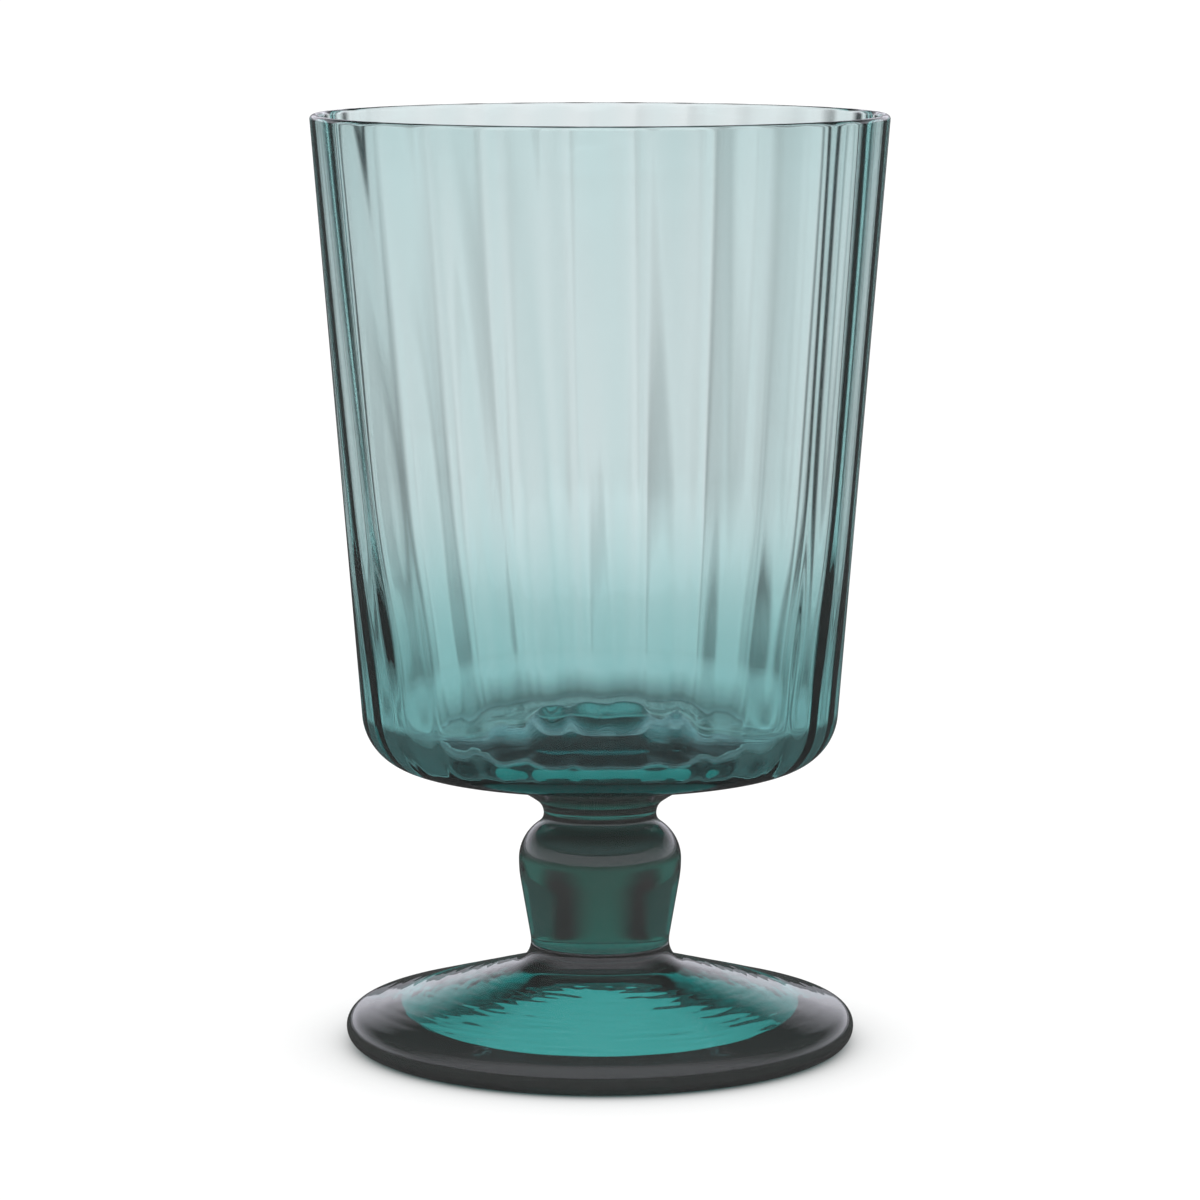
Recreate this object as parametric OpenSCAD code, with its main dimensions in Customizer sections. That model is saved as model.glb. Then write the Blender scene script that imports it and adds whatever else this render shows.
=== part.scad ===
// Ribbed water goblet of tinted glass, made of three gathers fused hot: bowl, stem and foot.
// The axis is Z, and the origin is the centre of the circle that the foot stands on.

/* [Bowl outside] */
// Diameter of the bowl across its rim
rim_d = 88; // [76:1:104]
// Diameter that the straight wall would reach at the level of the bottom corner
base_d = 72; // [60:1:84]
// Height of the bowl from its bottom corner to the rim
bowl_h = 99.4; // [70:0.2:130]
// Radius of the rounded bottom corner
corner_r = 8.6; // [6:0.2:11]
// Fall of the underside from the corner towards the stem, in degrees
under_fall = 3.5; // [1:0.5:6]

/* [Bowl inside] */
// Thickness of the wall at the lip, halfway between a rib and its groove
wall_top = 1.4; // [1.1:0.05:2]
// Thickness of the wall where it is stretched most
wall_thin = 1.15; // [1:0.05:1.6]
// Thickness of the wall just above the bottom corner
wall_low = 3.7; // [2:0.1:4.5]
// Depth below the rim at which the wall is thinnest
thin_drop = 33; // [20:1:45]
// How late the wall thickens on its way down, as a power: higher is later
thickening = 3.5; // [2:0.1:5]
// Height of the inside floor's edge above the level of the bottom corner
floor_rise = 3; // [2:0.1:4]
// Radius of the inside corner between wall and floor
inner_corner_r = 6; // [4:0.5:9]
// Radius that fire polishing leaves on the lip's two edges
lip_r = 0.5; // [0.3:0.05:0.5]

/* [Optic ribs] */
// Number of ribs that the dip mould leaves round the inside
rib_count = 28; // [16:1:32]
// Height of a rib above its groove at the lip, where the glass is stretched most
rib_top = 0.2; // [0.1:0.05:0.3]
// Height of a rib above its groove at the bottom of the wall
rib_low = 0.4; // [0.2:0.05:0.8]
// Height of a rib above its groove where the inside corner meets the floor
rib_floor = 0.05; // [0:0.05:0.4]

/* [Floor of the bowl] */
// Height of the mound that the stem's hot glass pushes up in the floor
mound_h = 4.5; // [2:0.1:6]
// Diameter of the dimple that sinks in the middle of the mound
dimple_d = 25; // [16:0.2:30]
// Depth of the dimple below the top that the mound would have
dimple_depth = 4; // [1:0.1:5]

/* [Stem] */
// Diameter of the waist, where the stem stands on the foot
waist_d = 21.4; // [18:0.2:23]
// Diameter of the belly, the stem's widest place
belly_d = 25.1; // [24.4:0.1:30]
// Diameter of the neck, the stem's thinnest place
neck_d = 17.4; // [14:0.2:19]
// Height of the belly above the waist
belly_rise = 12.9; // [10:0.1:22]
// Height of the neck above the belly
neck_rise = 7.15; // [6:0.05:12]
// Radius of the curve out of the waist
waist_curve_r = 6; // [3:0.5:9]
// Radius of the curve into the belly from below
belly_curve_r = 20; // [10:0.5:26]
// Radius of the groove below the neck
neck_low_r = 1.9; // [1:0.1:3]
// Radius of the groove above the neck
neck_top_r = 2.7; // [1.5:0.1:4]
// Angle through which the groove above the neck turns, in degrees
neck_turn = 55; // [40:1:62]
// Radius of the trumpet that carries the neck's glass out under the bowl
trumpet_r = 29; // [20:0.5:34]
// Diameter of the disc where the stem's glass is stuck to the bowl
pad_d = 32; // [26:0.5:38]

/* [Foot] */
// Diameter of the foot
foot_d = 78.6; // [66:0.2:96]
// Radius of the foot's rounded edge
edge_r = 2.65; // [1.8:0.05:3.5]
// Slope of the foot's upper face, in degrees
foot_slope = 15.85; // [6:0.05:20]
// Radius of the flare from the foot's face up to the waist
flare_r = 3.9; // [2:0.1:7]
// Width of the flat ring that the foot stands on
rest_w = 7.65; // [3:0.05:11]
// Slope of the hollow under the foot, in degrees
hollow_slope = 15; // [5:0.5:17]
// Radius of the rounded edge between the flat ring and the hollow
knee_r = 5; // [2:0.5:9]
// Radius of the hollow's rounded crown
crown_r = 34; // [20:1:40]

/* [Hidden] */
glass_colour = [0.36, 0.66, 0.64, 0.6];
$fn = 96;

arc_steps = 10; // chords in each arc of an outline
rib_steps = 5; // points across each rib
wall_rings = 14; // rings of points down the straight wall
corner_rings = 7; // rings round the inside corner
floor_rings = 14; // rings from the inside corner to the middle of the floor
lip_rings = 3; // rings round the lip's inner edge
overrun = 1; // how far the cavity reaches above the rim

// Points on an arc round [cx, cz], from angle a to angle b
function arc(cx, cz, r, a, b) =
    [for (i = [0:arc_steps]) let (t = a + (b - a) * i / arc_steps) [cx + r * cos(t), cz + r * sin(t)]];

// Foot: a rounded edge, a straight sloping face and a flare up to the waist
foot_r = foot_d / 2;
waist_r = waist_d / 2;
edge_top_r = foot_r - edge_r + edge_r * sin(foot_slope);
edge_top_z = edge_r + edge_r * cos(foot_slope);
flare_end_r = waist_r + flare_r * (1 - sin(foot_slope));
flare_end_z = edge_top_z + (edge_top_r - flare_end_r) * tan(foot_slope);
foot_h = flare_end_z + flare_r * cos(foot_slope);
rest_r = foot_r - edge_r;
hollow_r = rest_r - rest_w;
knee_cx = hollow_r + knee_r * tan(hollow_slope / 2);
knee_end_r = knee_cx - knee_r * sin(hollow_slope);
knee_end_z = knee_r * (1 - cos(hollow_slope));
crown_edge_r = crown_r * sin(hollow_slope);
crown_edge_z = knee_end_z + (knee_end_r - crown_edge_r) * tan(hollow_slope);
crown_cz = crown_edge_z - crown_r * cos(hollow_slope);

// Stem below the belly: the straight taper that touches both curves
belly_r = belly_d / 2;
neck_r = neck_d / 2;
belly_z = foot_h + belly_rise;
neck_z = belly_z + neck_rise;
curves_r = waist_curve_r + belly_curve_r;
taper_in = curves_r - (belly_r - waist_r);
taper_length = sqrt(taper_in * taper_in + belly_rise * belly_rise - curves_r * curves_r);
taper_angle = atan2(belly_rise, taper_in) - atan2(taper_length, curves_r);

// Stem above the belly: the shoulder is the arc that touches the groove below the neck
shoulder_angle = 2 * atan((belly_r - neck_r) / neck_rise);
shoulder_r = neck_rise / sin(shoulder_angle) - neck_low_r;

// Trumpet from the neck to the underside of the bowl, shared by the stem and the bowl
trumpet_start_r = neck_r + neck_top_r * (1 - cos(neck_turn));
trumpet_start_z = neck_z + neck_top_r * sin(neck_turn);
trumpet_cx = trumpet_start_r + trumpet_r * cos(neck_turn);
trumpet_cz = trumpet_start_z - trumpet_r * sin(neck_turn);
pad_r = pad_d / 2;
pad_angle = acos((trumpet_cx - pad_r) / trumpet_r);
pad_z = trumpet_cz + trumpet_r * sin(pad_angle);
under_r = trumpet_cx - trumpet_r * sin(under_fall);
under_z = trumpet_cz + trumpet_r * cos(under_fall);

// Bowl outside: the corner touches the underside and the wall
rim_r = rim_d / 2;
base_r = base_d / 2;
corner_z = under_z + (base_r - under_r) * tan(under_fall);
rim_z = corner_z + bowl_h;
wall_lean = atan((rim_r - base_r) / bowl_h);
corner_tangent = corner_r * tan((90 - wall_lean - under_fall) / 2);
corner_cx = base_r - corner_tangent * cos(under_fall) - corner_r * sin(under_fall);
corner_cz = corner_z - corner_tangent * sin(under_fall) + corner_r * cos(under_fall);
lip_tangent = lip_r * tan((90 + wall_lean) / 2);
lip_cx = rim_r - lip_tangent;
lip_cz = rim_z - lip_r;

// Bowl inside: a wall thin in the middle and thick at its foot, a corner, and the floor
thin_z = rim_z - thin_drop;
floor_z = corner_z + floor_rise;
inner_tangent = inner_corner_r * tan((90 - wall_lean) / 2);
floor_r = base_r - wall_low + floor_rise * tan(wall_lean) - inner_tangent;
inner_arc_z = floor_z + inner_corner_r;
wall_foot_z = inner_arc_z - inner_corner_r * sin(wall_lean);
wall_head_z = rim_z - lip_r;
dimple_r = dimple_d / 2;

// Thickness of the wall at height z
function wall(z) =
    z > thin_z
    ? wall_thin + (wall_top - wall_thin) * pow((z - thin_z) / thin_drop, 2)
    : wall_thin + (wall_low - wall_thin) * pow(1 - swell(thin_z - z, thin_z - wall_foot_z), thickening);

// Radius of the inside at height z of the wall
function inner_r(z) = base_r + (z - corner_z) * tan(wall_lean) - wall(z);

// A smooth step from 1 at zero to 0 at reach
function swell(r, reach) = (1 + cos(180 * min(r / reach, 1))) / 2;

// Height of the floor at radius r
function floor_height(r) =
    floor_z + mound_h * swell(r, floor_r) - dimple_depth * swell(r, dimple_r);

// How much of the rib's height is left at radius r on the floor
function floor_fade(r) = r < dimple_r ? 0 : 1 - swell(r - dimple_r, floor_r - dimple_r);

// The inside, from above the rim to the middle of the floor: each ring is
// [radius, height, how far its ribs lean to the level, half the rib's height]
function lip_ring(t) =
    [inner_r(wall_head_z) + lip_r * (1 - cos(t)), wall_head_z + lip_r * sin(t), 0, rib_top / 2];

function wall_ring(share) =
    let (z = wall_head_z + (wall_foot_z - wall_head_z) * share)
    [inner_r(z), z, 0, (rib_top + (rib_low - rib_top) * share * share) / 2];

function corner_ring(share) =
    let (t = wall_lean + (90 - wall_lean) * share)
    [
        floor_r + inner_corner_r * cos(t),
        inner_arc_z - inner_corner_r * sin(t),
        t,
        (rib_low + (rib_floor - rib_low) * share) / 2
    ];

function floor_ring(r) = [r, floor_height(r), 90, rib_floor / 2 * floor_fade(r)];

rings = concat(
    [[inner_r(wall_head_z) + lip_r, rim_z + overrun, 0, rib_top / 2]],
    [for (i = [lip_rings:-1:1]) lip_ring(90 * i / lip_rings)],
    [for (i = [0:wall_rings]) wall_ring(i / wall_rings)],
    [for (i = [1:corner_rings - 1]) corner_ring(i / corner_rings)],
    [for (i = [0:floor_rings - 1]) floor_ring(floor_r * (1 - i / floor_rings))]
);

// The point of a ring at angle a, with the rib's wave square to the surface
function rib_point(ring, a) =
    let (wave = ring[3] * cos(rib_count * a), r = ring[0] - wave * cos(ring[2]))
    [r * cos(a), r * sin(a), ring[1] + wave * sin(ring[2])];

// The space that the bowl holds
module cavity() {
    around = rib_count * rib_steps;
    last = len(rings) - 1;
    points = concat(
        [for (ring = rings) for (k = [0:around - 1]) rib_point(ring, 360 * k / around)],
        [[0, 0, floor_height(0)]]
    );
    sides = [
        for (j = [0:last - 1]) for (k = [0:around - 1])
            let (a = j * around + k, b = j * around + (k + 1) % around)
            for (face = [[a, b, a + around], [b, b + around, a + around]]) face
    ];
    middle = [
        for (k = [0:around - 1]) [last * around + k, last * around + (k + 1) % around, len(points) - 1]
    ];
    top = [[for (k = [around - 1:-1:0]) k]];
    polyhedron(points, concat(sides, middle, top));
}

module foot() {
    color(glass_colour)
    rotate_extrude()
    polygon(concat(
        arc(0, crown_cz, crown_r, 90, 90 - hollow_slope),
        arc(knee_cx, knee_r, knee_r, -90 - hollow_slope, -90),
        arc(rest_r, edge_r, edge_r, -90, 90 - foot_slope),
        arc(waist_r + flare_r, foot_h, flare_r, 270 - foot_slope, 180),
        [[0, foot_h]]
    ));
}

module stem() {
    color(glass_colour)
    rotate_extrude()
    polygon(concat(
        [[0, foot_h]],
        arc(waist_r + waist_curve_r, foot_h, waist_curve_r, 180, 180 - taper_angle),
        arc(belly_r - belly_curve_r, belly_z, belly_curve_r, -taper_angle, 0),
        arc(belly_r - shoulder_r, belly_z, shoulder_r, 0, shoulder_angle),
        arc(neck_r + neck_low_r, neck_z, neck_low_r, 180 + shoulder_angle, 180),
        arc(neck_r + neck_top_r, neck_z, neck_top_r, 180, 180 - neck_turn),
        arc(trumpet_cx, trumpet_cz, trumpet_r, 180 - neck_turn, 180 - pad_angle),
        [[0, pad_z]]
    ));
}

module bowl() {
    color(glass_colour)
    difference() {
        rotate_extrude()
        polygon(concat(
            [[0, pad_z]],
            arc(trumpet_cx, trumpet_cz, trumpet_r, 180 - pad_angle, 90 + under_fall),
            arc(corner_cx, corner_cz, corner_r, under_fall - 90, -wall_lean),
            arc(lip_cx, lip_cz, lip_r, -wall_lean, 90),
            [[0, rim_z]]
        ));
        cavity();
    }
}

foot();
stem();
bowl();
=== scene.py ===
from math import acos, atan, atan2, cos, degrees, pi, radians, sin, sqrt, tan

import bpy
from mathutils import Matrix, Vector, noise


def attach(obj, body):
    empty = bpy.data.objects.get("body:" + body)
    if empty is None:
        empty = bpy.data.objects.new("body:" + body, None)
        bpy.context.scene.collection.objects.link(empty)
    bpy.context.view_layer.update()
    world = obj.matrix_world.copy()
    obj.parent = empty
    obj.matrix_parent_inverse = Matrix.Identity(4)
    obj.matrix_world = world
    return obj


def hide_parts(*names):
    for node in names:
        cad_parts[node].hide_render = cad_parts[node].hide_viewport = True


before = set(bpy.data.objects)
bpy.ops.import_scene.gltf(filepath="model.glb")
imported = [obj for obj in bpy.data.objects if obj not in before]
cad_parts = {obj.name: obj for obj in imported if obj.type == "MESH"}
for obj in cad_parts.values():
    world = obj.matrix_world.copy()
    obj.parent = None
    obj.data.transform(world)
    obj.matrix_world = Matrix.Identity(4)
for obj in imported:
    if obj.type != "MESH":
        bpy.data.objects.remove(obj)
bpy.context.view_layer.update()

# The foot is the last gather of the sea-green glass. It is cast on under the stem,
# spread to a disc with the foot tool and hollowed underneath, so that it stands on a
# flat ring near its edge. Sizes are in millimetres and angles in degrees.
MM = 0.001
FOOT_R = 39.3
EDGE_R = 2.65
SLOPE = 15.85
WAIST_R = 10.7
FLARE_R = 3.9
HOLLOW_R = 29.0
HOLLOW_SLOPE = 15.0
CROWN_R = 34.0
KNEE_R = 5.0
TOOL_RING_DEPTH = 0.045
TOOL_RING_FADE = 3.0

# Every ring of points has this many, and they stand at these angles in radians.
AROUND = 448
ANGLES = [2 * pi * k / AROUND for k in range(AROUND)]


def between(a, b, share):
    """The value that lies that share of the way from a to b."""
    return a + (b - a) * share


def arc(cx, cz, radius, start, end, steps):
    """Points on an arc of an outline, as (r, z)."""
    turns = [radians(between(start, end, i / steps)) for i in range(steps + 1)]
    return [(cx + radius * cos(turn), cz + radius * sin(turn)) for turn in turns]


def straight(a, b, steps):
    """Points on the line from a to b, without its two ends."""
    return [(between(a[0], b[0], i / steps), between(a[1], b[1], i / steps)) for i in range(1, steps)]


def turned(outline):
    """Rings of points round the axis from an outline."""
    return [[Vector((r * cos(a), r * sin(a), z)) for a in ANGLES] for r, z in outline]


def glass_skin(name, rings, first_z, last_z, welds):
    """A closed skin through rings of points, from one pole on the axis to the other.
    welds names the poles ("first", "last") where a flat disc meets the next gather."""
    points = [Vector((0, 0, first_z))] + [p for ring in rings for p in ring] + [Vector((0, 0, last_z))]

    def on_ring(j, k):
        """The number of point k on ring j."""
        return 1 + j * AROUND + k % AROUND

    faces = [(0, on_ring(0, k + 1), on_ring(0, k)) for k in range(AROUND)]
    last = len(rings) - 1
    for j in range(last):
        faces += [
            (on_ring(j, k), on_ring(j, k + 1), on_ring(j + 1, k + 1), on_ring(j + 1, k))
            for k in range(AROUND)
        ]
    faces += [(on_ring(last, k), on_ring(last, k + 1), len(points) - 1) for k in range(AROUND)]
    smooth = [True] * len(faces)
    if "first" in welds:
        smooth[:AROUND] = [False] * AROUND
    if "last" in welds:
        smooth[-AROUND:] = [False] * AROUND
    mesh = bpy.data.meshes.new(name)
    mesh.from_pydata([p * MM for p in points], [], faces)
    mesh.polygons.foreach_set("use_smooth", smooth)
    mesh.update()
    piece = bpy.data.objects.new(name, mesh)
    bpy.context.scene.collection.objects.link(piece)
    return piece


GLASS_IOR = 1.5

# What a black glass would take up in one millimetre. No tint takes up more of a colour.
BLACK_GLASS = 0.4


def tinted_glass(name, tint, haze):
    """Clear glass coloured through its mass. tint is what one millimetre takes up of red,
    green and blue, and haze is the share of the skin that has a faint bloom."""
    glass = bpy.data.materials.new(name)
    glass.use_nodes = True
    nodes, links = glass.node_tree.nodes, glass.node_tree.links
    skin = nodes["Principled BSDF"]
    skin.inputs["Base Color"].default_value = (1, 1, 1, 1)
    skin.inputs["Roughness"].default_value = 0.0
    skin.inputs["IOR"].default_value = GLASS_IOR
    skin.inputs["Transmission Weight"].default_value = 1.0 - haze
    mass = nodes.new("ShaderNodeVolumeAbsorption")
    mass.inputs["Density"].default_value = BLACK_GLASS / MM
    mass.inputs["Color"].default_value = [1 - take / BLACK_GLASS for take in tint] + [1]
    links.new(mass.outputs["Volume"], nodes["Material Output"].inputs["Volume"])
    return glass


rest_r = FOOT_R - EDGE_R
edge_top_r = rest_r + EDGE_R * sin(radians(SLOPE))
edge_top_z = EDGE_R + EDGE_R * cos(radians(SLOPE))
flare_end_r = WAIST_R + FLARE_R * (1 - sin(radians(SLOPE)))
flare_end_z = edge_top_z + (edge_top_r - flare_end_r) * tan(radians(SLOPE))
foot_h = flare_end_z + FLARE_R * cos(radians(SLOPE))
crown_r = CROWN_R * sin(radians(HOLLOW_SLOPE))
crown_h = CROWN_R * (1 - cos(radians(HOLLOW_SLOPE)))
knee_r = HOLLOW_R - KNEE_R * tan(radians(HOLLOW_SLOPE / 2)) * cos(radians(HOLLOW_SLOPE))
knee_h = KNEE_R * (1 - cos(radians(HOLLOW_SLOPE)))
hollow_h = knee_h + (knee_r - crown_r) * tan(radians(HOLLOW_SLOPE)) + crown_h
crown = arc(0, hollow_h - CROWN_R, CROWN_R, 90, 90 - HOLLOW_SLOPE, steps=12)
knee = arc(knee_r + KNEE_R * sin(radians(HOLLOW_SLOPE)), KNEE_R, KNEE_R, -90 - HOLLOW_SLOPE, -90, steps=8)
foot_outline = (
    crown[1:]
    + straight(crown[-1], knee[0], steps=16)
    + knee
    + arc(rest_r, EDGE_R, EDGE_R, -90, 90 - SLOPE, steps=24)
    + straight((edge_top_r, edge_top_z), (flare_end_r, flare_end_z), steps=70)
    + arc(WAIST_R + FLARE_R, foot_h, FLARE_R, 270 - SLOPE, 180, steps=14)
)


def wander(a, round_axis, along):
    """Smooth noise at angle a. A larger round_axis makes it change faster round the axis,
    and along carries it on along the piece."""
    return noise.noise(Vector((round_axis * cos(a), round_axis * sin(a), along)))


def tooled(r, a):
    """Height of the faint rings that the foot tool leaves on the upper face."""
    fade = min(1, max(0, r - flare_end_r) / TOOL_RING_FADE, max(0, edge_top_r - r) / TOOL_RING_FADE)
    broad = wander(a, round_axis=3, along=0.9 * r)
    fine = wander(a, round_axis=7, along=2.3 * r)
    return TOOL_RING_DEPTH * fade * (broad + 0.6 * fine)


foot_rings = turned(foot_outline)
for ring in foot_rings:
    for p, a in zip(ring, ANGLES):
        if p.z > edge_top_z:
            p.z += tooled(p.xy.length, a)
foot = glass_skin("foot_glass", foot_rings, hollow_h, foot_h, welds=["last"])
foot.data.materials.append(tinted_glass("foot_glass", tint=(0.35, 0.08, 0.087), haze=0.038))
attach(foot, "root")
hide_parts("foot")

# The stem is the gather of the same glass that is drawn down from the bowl and nipped
# with the pincers: a waist, a belly, a neck, and the trumpet that is fused to the
# underside of the bowl. A hair's gap keeps the tinted skins apart at the two welds.
GAP = 0.004
WAIST_CURVE = 6.0
BELLY_R = 12.55
BELLY_RISE = 12.9
BELLY_CURVE = 20.0
NECK_R = 8.7
NECK_RISE = 7.15
NECK_LOW_CURVE = 1.9
NECK_TOP_CURVE = 2.7
NECK_TURN = 55.0
TRUMPET_CURVE = 29.0
PAD_R = 16.0
belly_z = foot_h + BELLY_RISE
neck_z = belly_z + NECK_RISE
curves = WAIST_CURVE + BELLY_CURVE
taper_in = curves - (BELLY_R - WAIST_R)
taper_length = sqrt(taper_in ** 2 + BELLY_RISE ** 2 - curves ** 2)
taper = degrees(atan2(BELLY_RISE, taper_in) - atan2(taper_length, curves))
shoulder = 2 * degrees(atan((BELLY_R - NECK_R) / NECK_RISE))
shoulder_curve = NECK_RISE / sin(radians(shoulder)) - NECK_LOW_CURVE
trumpet_start_r = NECK_R + NECK_TOP_CURVE * (1 - cos(radians(NECK_TURN)))
trumpet_start_z = neck_z + NECK_TOP_CURVE * sin(radians(NECK_TURN))
trumpet_cx = trumpet_start_r + TRUMPET_CURVE * cos(radians(NECK_TURN))
trumpet_cz = trumpet_start_z - TRUMPET_CURVE * sin(radians(NECK_TURN))
pad_turn = degrees(acos((trumpet_cx - PAD_R) / TRUMPET_CURVE))
pad_z = trumpet_cz + TRUMPET_CURVE * sin(radians(pad_turn))
low_taper = arc(WAIST_R + WAIST_CURVE, foot_h, WAIST_CURVE, 180, 180 - taper, steps=6)
high_taper = arc(BELLY_R - BELLY_CURVE, belly_z, BELLY_CURVE, -taper, 0, steps=8)
stem_outline = (
    low_taper
    + straight(low_taper[-1], high_taper[0], steps=12)
    + high_taper
    + arc(BELLY_R - shoulder_curve, belly_z, shoulder_curve, 0, shoulder, steps=16)[1:]
    + arc(NECK_R + NECK_LOW_CURVE, neck_z, NECK_LOW_CURVE, 180 + shoulder, 180, steps=12)[1:]
    + arc(NECK_R + NECK_TOP_CURVE, neck_z, NECK_TOP_CURVE, 180, 180 - NECK_TURN, steps=12)[1:]
    + arc(trumpet_cx, trumpet_cz, TRUMPET_CURVE, 180 - NECK_TURN, 180 - pad_turn, steps=10)[1:]
)
stem_low_z = foot_h + GAP
stem_top_z = pad_z - GAP
stem_outline[0] = (stem_outline[0][0], stem_low_z)
stem_outline[-1] = (stem_outline[-1][0], stem_top_z)
stem = glass_skin("stem_glass", turned(stem_outline), stem_low_z, stem_top_z, welds=["first", "last"])
stem.data.materials.append(tinted_glass("stem_glass", tint=(0.26, 0.117, 0.13), haze=0.05))
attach(stem, "root")
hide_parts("stem")

# The bowl is the first gather, blown in a ribbed dip mould and then in the bowl's own
# mould, so that its outside is plain and the ribs stay on the inside. The lip is cut
# and fire-polished, and more and more glass is left in the wall towards the floor.
RIM_R = 44.0
BASE_R = 36.0
BOWL_H = 99.4
CORNER_R = 8.6
UNDER_FALL = 3.5
LIP_R = 0.68
under_r = trumpet_cx - TRUMPET_CURVE * sin(radians(UNDER_FALL))
under_z = trumpet_cz + TRUMPET_CURVE * cos(radians(UNDER_FALL))
corner_z = under_z + (BASE_R - under_r) * tan(radians(UNDER_FALL))
rim_z = corner_z + BOWL_H
lip_z = rim_z - LIP_R
lean = degrees(atan((RIM_R - BASE_R) / BOWL_H))
tangent = CORNER_R * tan(radians((90 - lean - UNDER_FALL) / 2))
corner_cx = BASE_R - tangent * cos(radians(UNDER_FALL)) - CORNER_R * sin(radians(UNDER_FALL))
corner_cz = corner_z - tangent * sin(radians(UNDER_FALL)) + CORNER_R * cos(radians(UNDER_FALL))
under = arc(trumpet_cx, trumpet_cz, TRUMPET_CURVE, 180 - pad_turn, 90 + UNDER_FALL, steps=12)
corner = arc(corner_cx, corner_cz, CORNER_R, UNDER_FALL - 90, -lean, steps=20)
lip = arc(RIM_R - LIP_R * tan(radians((90 + lean) / 2)), lip_z, LIP_R, -lean, 90, steps=10)
outside = (
    under
    + straight(under[-1], corner[0], steps=8)
    + corner
    + straight(corner[-1], lip[0], steps=16)
    + lip
)

WALL_TOP = 1.4
WALL_THIN = 1.15
WALL_LOW = 3.7
THIN_BELOW_RIM = 33.0
THICKENING = 3.5
FLOOR_RISE = 3.0
INNER_CORNER_R = 6.0
MOUND_H = 4.5
DIMPLE_R = 10.8
DIMPLE_DEPTH = 3.6
DIMPLE_CREST = 1.25
thin_z = rim_z - THIN_BELOW_RIM
floor_z = corner_z + FLOOR_RISE
inner_tangent = INNER_CORNER_R * tan(radians((90 - lean) / 2))
floor_r = BASE_R - WALL_LOW + FLOOR_RISE * tan(radians(lean)) - inner_tangent
inner_corner_z = floor_z + INNER_CORNER_R
wall_foot_z = inner_corner_z - INNER_CORNER_R * sin(radians(lean))


def swell(distance, reach):
    """A smooth step from 1 at no distance to 0 at its reach."""
    return (1 + cos(pi * min(distance / reach, 1))) / 2


def wall_at(z):
    """Thickness of the wall: thin a third of the way down, thicker at the lip and low down."""
    if z > thin_z:
        return between(WALL_THIN, WALL_TOP, ((z - thin_z) / (rim_z - thin_z)) ** 2)
    lower = 1 - swell(thin_z - z, thin_z - wall_foot_z)
    return between(WALL_THIN, WALL_LOW, lower ** THICKENING)


def inner_r(z):
    """Radius of the inside of the wall."""
    return BASE_R + (z - corner_z) * tan(radians(lean)) - wall_at(z)


def floor_height(r):
    """Height of the bowl's floor: a low mound with a round dimple in its top."""
    dimple = DIMPLE_DEPTH * max(0, 1 - (r / DIMPLE_R) ** 2) ** DIMPLE_CREST
    return floor_z + MOUND_H * swell(r, floor_r) - dimple


RIB_TOP = 0.25
RIB_LOW = 0.19
RIB_FLOOR = 0.05
WALL_STEPS = 60
CORNER_STEPS = 20
FLOOR_STEPS = 58

# Each row is a ring of the inside, from the lip to the middle of the floor: radius,
# height, how far its surface is tipped over from upright, and the ribs' mean height.
inside = []
for r, z in arc(inner_r(lip_z) + LIP_R, lip_z, LIP_R, 90, 180, steps=8)[:-1]:
    inside.append((r, z, 0.0, RIB_TOP))
for i in range(WALL_STEPS + 1):
    down = i / WALL_STEPS
    z = between(lip_z, wall_foot_z, down)
    inside.append((inner_r(z), z, 0.0, between(RIB_TOP, RIB_LOW, down ** 2)))
for i in range(1, CORNER_STEPS):
    round_corner = i / CORNER_STEPS
    tip = between(lean, 90, round_corner)
    r = floor_r + INNER_CORNER_R * cos(radians(tip))
    z = inner_corner_z - INNER_CORNER_R * sin(radians(tip))
    inside.append((r, z, tip, between(RIB_LOW, RIB_FLOOR, round_corner)))
for i in range(FLOOR_STEPS):
    r = floor_r * (1 - i / FLOOR_STEPS)
    fade = 0.0 if r < DIMPLE_R else 1 - swell(r - DIMPLE_R, floor_r - DIMPLE_R)
    inside.append((r, floor_height(r), 90.0, RIB_FLOOR * fade))

RIBS = 28
RIB_START = radians(-86.9)
RIB_DRIFT = radians(1.6)
RIB_LEAN = radians(7.4)
UPRIGHT_Z = 65.0
LEAN_SPAN = 72.0
LOW_DOWN = 70.0
STREAK = 0.02
MIDDLE_STREAK = 0.04


def rib_strength(a, z):
    """How far the ribs stand out against their mean height. They are strong at the left
    and right and low down at the front and back, and weak in patches between."""
    from_left = abs(a - pi)
    from_right = pi - from_left
    low_down = swell(max(0, z - wall_foot_z), LOW_DOWN)
    sides = 0.15 * cos(2 * a) + 0.6 * cos(a) ** 8
    middle = (0.4 + 0.8 * low_down) * sin(a) ** 6
    weak_left = 0.85 * swell(abs(from_left - radians(34)), reach=0.36)
    weak_right = 0.7 * swell(abs(from_right - radians(47)), reach=0.34)
    by_chance = 0.35 * wander(a, round_axis=5, along=0.01 * z + 3)
    return 1 + sides + middle - weak_left - weak_right + by_chance


def ribbed(r, z, tip, rib_h):
    """One ring of the inside, with the ribs' wave square to the surface. The ribs lean
    most on the left, and faint streaks run beside them."""
    ring = []
    for a in ANGLES:
        leaning = RIB_LEAN * (1 - cos(a)) / 2 * (z - UPRIGHT_Z) / LEAN_SPAN
        rib = cos(RIBS * (a + leaning - RIB_START - RIB_DRIFT * cos(a)))
        streak = wander(a + leaning, round_axis=20, along=0.012 * z)
        wave = rib_h / 2 * rib_strength(a, z) * rib
        wave += (STREAK + MIDDLE_STREAK * sin(a) ** 4) * streak
        out = r - wave * cos(radians(tip))
        ring.append(Vector((out * cos(a), out * sin(a), z + wave * sin(radians(tip)))))
    return ring


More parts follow.
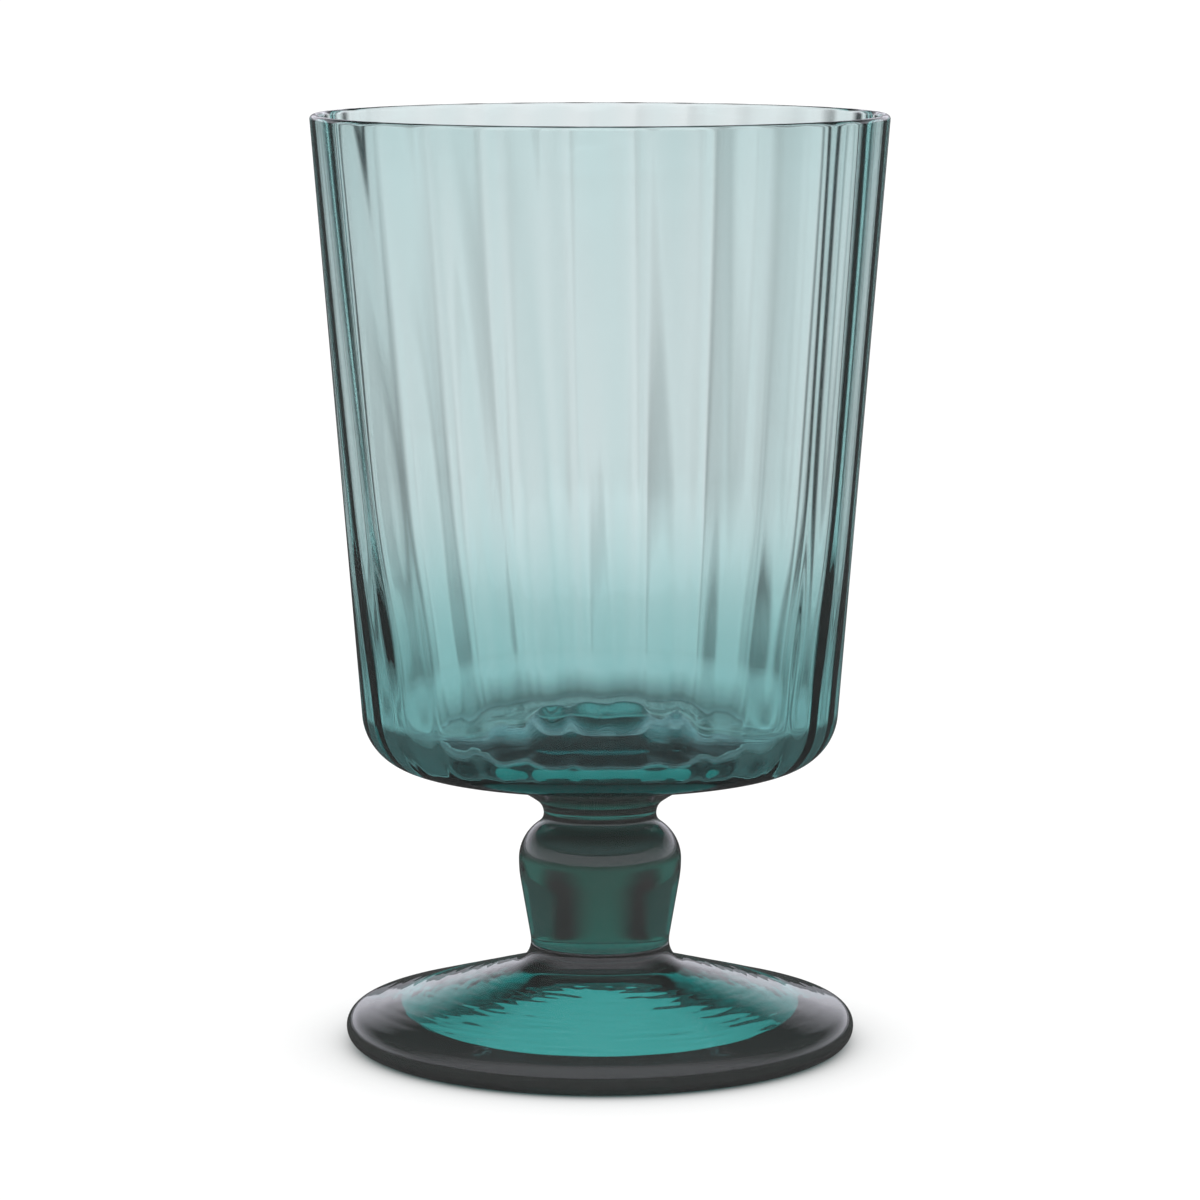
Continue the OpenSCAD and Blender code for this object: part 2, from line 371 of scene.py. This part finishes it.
bowl_rings = turned(outside) + [ribbed(*row) for row in inside]
bowl = glass_skin("bowl_glass", bowl_rings, pad_z, floor_height(0), welds=["first"])
bowl.data.materials.append(tinted_glass("bowl_glass", tint=(0.181, 0.078, 0.079), haze=0.016))
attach(bowl, "root")
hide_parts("bowl")

# The table top is a plain pale sheet. To the camera three tenths of it is white paint
# that takes the goblet's shadow, and the rest is a white glow with a painted contact
# shadow, darkened by ambient occlusion near the foot. Rays that come through the glass
# find a painted glow in rings and sectors with darker fields between, standing in for
# light and for the shade that a photographer's black flags would leave. In reflections
# it is a dim glow of painted shade. Its sizes are in metres.
TABLE_R = 12.0
TABLE_SIDES = 64
TABLE_DROP = 0.00002
TABLE_WHITE = (0.9, 0.9, 0.9, 1)
PAINTED_LIGHT_THROUGH_GLASS = (1.0, 0.955, 0.97, 1)
FULL_WHITE = (1, 1, 1, 1)
GLOW_SHARE = 0.7
PAINTED_SHADOW_REACH = 0.012
PAINTED_SHADOW_SAMPLES = 16
SECTORS = 8.0
SECTOR_TURN = 0.18
SECTOR_SWING = 0.6
SECTOR_LIGHT = 0.48
EVEN_LIGHT = 0.88
DARKEST = 0.02
table_mesh = bpy.data.meshes.new("table_top")
table_turns = [2 * pi * k / TABLE_SIDES for k in range(TABLE_SIDES)]
table_edge = [(TABLE_R * cos(turn), TABLE_R * sin(turn), 0) for turn in table_turns]
table_mesh.from_pydata(table_edge, [], [tuple(range(TABLE_SIDES))])
table = bpy.data.objects.new("table_top", table_mesh)
bpy.context.scene.collection.objects.link(table)
table.location.z = -TABLE_DROP
white = bpy.data.materials.new("white_table")
white.use_nodes = True

# The functions below add nodes to this tree, and further on to the studio's.
tree = white.node_tree


def feed(socket, value):
    """Give a socket its value, which is a number, a colour or another node's output."""
    if isinstance(value, bpy.types.NodeSocket):
        tree.links.new(value, socket)
    else:
        socket.default_value = value


def calc(operation, *values, clamp=False):
    """The result of one Math node."""
    node = tree.nodes.new("ShaderNodeMath")
    node.operation = operation
    node.use_clamp = clamp
    for socket, value in zip(node.inputs, values):
        feed(socket, value)
    return node.outputs[0]


def ramp(value, zero_at, full_at, full=1.0):
    """0 on one side of zero_at, full past full_at, and an even slope between them."""
    slope = 1 / (full_at - zero_at)
    return calc("MULTIPLY", calc("MULTIPLY_ADD", value, slope, -zero_at * slope, clamp=True), full)


def light(kind, colour, strength):
    """A light of one colour. kind is the node for a surface or for the sky."""
    node = tree.nodes.new(kind)
    feed(node.inputs["Color"], colour)
    feed(node.inputs["Strength"], strength)
    return node.outputs[0]


def blend(share, first, second):
    """The first shader, with that share of the second in its place."""
    node = tree.nodes.new("ShaderNodeMixShader")
    for socket, value in zip(node.inputs, (share, first, second)):
        feed(socket, value)
    return node.outputs[0]


place = tree.nodes.new("ShaderNodeNewGeometry")
apart = tree.nodes.new("ShaderNodeSeparateXYZ")
feed(apart.inputs[0], place.outputs["Position"])
east, north = apart.outputs["X"], apart.outputs["Y"]
away = calc("SQRT", calc("ADD", calc("POWER", east, 2.0), calc("POWER", north, 2.0)))
spokes = calc("COSINE", calc("MULTIPLY_ADD", calc("ARCTAN2", east, north), SECTORS, SECTOR_TURN))

# The painted light is even beside the goblet and parts into sectors further out. It is
# brighter nearer the goblet, and painted shade takes it down to its darkest within a
# tenth of a metre of the goblet.
parted = ramp(away, zero_at=0.15, full_at=0.25)
even = calc("MULTIPLY_ADD", parted, SECTOR_LIGHT - EVEN_LIGHT, EVEN_LIGHT)
sectors = calc("MULTIPLY_ADD", calc("MULTIPLY", spokes, parted), SECTOR_SWING, even)
brighter = ramp(away, zero_at=0.625, full_at=0.0, full=0.4875)
field = calc("MULTIPLY", calc("ADD", sectors, brighter, clamp=True), ramp(away, zero_at=0.1, full_at=0.2))
far_glow = ramp(away, zero_at=5.0, full_at=9.0, full=0.4)

# Inside that field, a disc under the foot's hollow and a dim ring round the foot are lit
# by painted light, a glow of the table itself.
painted_pool_in_hollow = ramp(away, zero_at=(HOLLOW_R + 2.5) * MM, full_at=HOLLOW_R * MM, full=0.8)
ring_start = ramp(away, zero_at=0.0433, full_at=0.06, full=0.18)
painted_dim_ring = calc("MULTIPLY", ring_start, ramp(away, zero_at=0.325, full_at=0.2))
painted_light_field = calc("MAXIMUM", calc("MAXIMUM", field, far_glow), calc("MAXIMUM", painted_pool_in_hollow, painted_dim_ring))
painted_light_strength = calc("MULTIPLY_ADD", painted_light_field, 1 - DARKEST, DARKEST)

paint = tree.nodes.new("ShaderNodeBsdfDiffuse")
paint.inputs["Color"].default_value = TABLE_WHITE
# Painted contact shadow: ambient occlusion within the reach darkens the white glow that makes up most of
# the table as the camera sees it.
painted_contact_shadow = tree.nodes.new("ShaderNodeAmbientOcclusion")
painted_contact_shadow.inputs["Distance"].default_value = PAINTED_SHADOW_REACH
painted_contact_shadow.samples = PAINTED_SHADOW_SAMPLES
ray = tree.nodes.new("ShaderNodeLightPath")
glow = light("ShaderNodeEmission", painted_contact_shadow.outputs["Color"], strength=1.1)
paint_and_painted_shadow = blend(GLOW_SHARE, paint.outputs[0], glow)
seen_table = blend(ray.outputs["Is Camera Ray"], paint.outputs[0], paint_and_painted_shadow)
# In reflections the table is a dim glow of painted shade, not its lit paint.
painted_dark_table_in_reflections = light("ShaderNodeEmission", FULL_WHITE, strength=0.06)
outer_table = blend(ray.outputs["Is Glossy Ray"], seen_table, painted_dark_table_in_reflections)
# Through the glass the table shows this painted light as a glow, not its lit paint.
painted_table_through_glass = light("ShaderNodeEmission", PAINTED_LIGHT_THROUGH_GLASS, strength=painted_light_strength)
whole_table = blend(ray.outputs["Is Transmission Ray"], outer_table, painted_table_through_glass)
feed(tree.nodes["Material Output"].inputs["Surface"], whole_table)
table_mesh.materials.append(white)

# The studio is a white sweep in soft even light. Rays by way of the glass find a panel
# behind the goblet, which is brightest low down and fades out 28 degrees up, and a soft
# box over the camera from 7 degrees up, with a photographer's black flags round them.
PANEL_TINT = (0.95, 0.94, 1.035, 1)
world = bpy.data.worlds.new("studio")
bpy.context.scene.world = world
world.use_nodes = True
tree = world.node_tree
tree.nodes.clear()
coords = tree.nodes.new("ShaderNodeTexCoord")
way = tree.nodes.new("ShaderNodeSeparateXYZ")
feed(way.inputs[0], coords.outputs["Generated"])

# rise is how steeply a ray climbs, in radians.
rise = calc("ARCSINE", way.outputs["Z"])
panel_foot = ramp(rise, zero_at=radians(3.82), full_at=radians(4.78), full=1.25)
panel_skirt = ramp(rise, zero_at=radians(-0.19), full_at=radians(0.29), full=0.4)
panel_top = ramp(rise, zero_at=radians(27.75), full_at=radians(9.85))
panel = calc("MULTIPLY", calc("MAXIMUM", panel_foot, panel_skirt), panel_top)
soft_box = ramp(rise, zero_at=radians(6.21), full_at=radians(7.16))
behind = ramp(way.outputs["Y"], zero_at=-1 / 3, full_at=1 / 3)
in_front = calc("SUBTRACT", 1.0, behind)
sky = calc("ADD", calc("MULTIPLY", panel, behind), calc("MULTIPLY", soft_box, in_front))

path = tree.nodes.new("ShaderNodeLightPath")
soft_light = light("ShaderNodeBackground", FULL_WHITE, strength=1.12)
by_glass = light("ShaderNodeBackground", PANEL_TINT, strength=sky)
white_sweep = light("ShaderNodeBackground", FULL_WHITE, strength=1.0)
not_off_the_table = calc("LESS_THAN", path.outputs["Diffuse Depth"], 0.5)
from_glass = calc("MULTIPLY", path.outputs["Is Glossy Ray"], not_off_the_table)
round_goblet = blend(from_glass, soft_light, by_glass)
whole_sky = blend(path.outputs["Is Camera Ray"], round_goblet, white_sweep)
feed(tree.nodes.new("ShaderNodeOutputWorld").inputs["Surface"], whole_sky)

# The camera stands a little above the rim and looks down by about eight degrees. Its
# place was fitted to the outlines of the rim, bowl, stem and foot in the photograph.
CAMERA_BACK = 0.746
CAMERA_UP = 0.1748
LOOKS_DOWN = 8.08
FOCAL_LENGTH = 147.24
SENSOR_WIDTH = 36.0
lens = bpy.data.cameras.new("camera")
lens.lens = FOCAL_LENGTH
lens.sensor_width = SENSOR_WIDTH
camera = bpy.data.objects.new("camera", lens)
bpy.context.scene.collection.objects.link(camera)
camera.location = (0, -CAMERA_BACK, CAMERA_UP)
camera.rotation_euler = (radians(90 - LOOKS_DOWN), 0, 0)
bpy.context.scene.camera = camera
bpy.context.scene.view_settings.view_transform = "Standard"
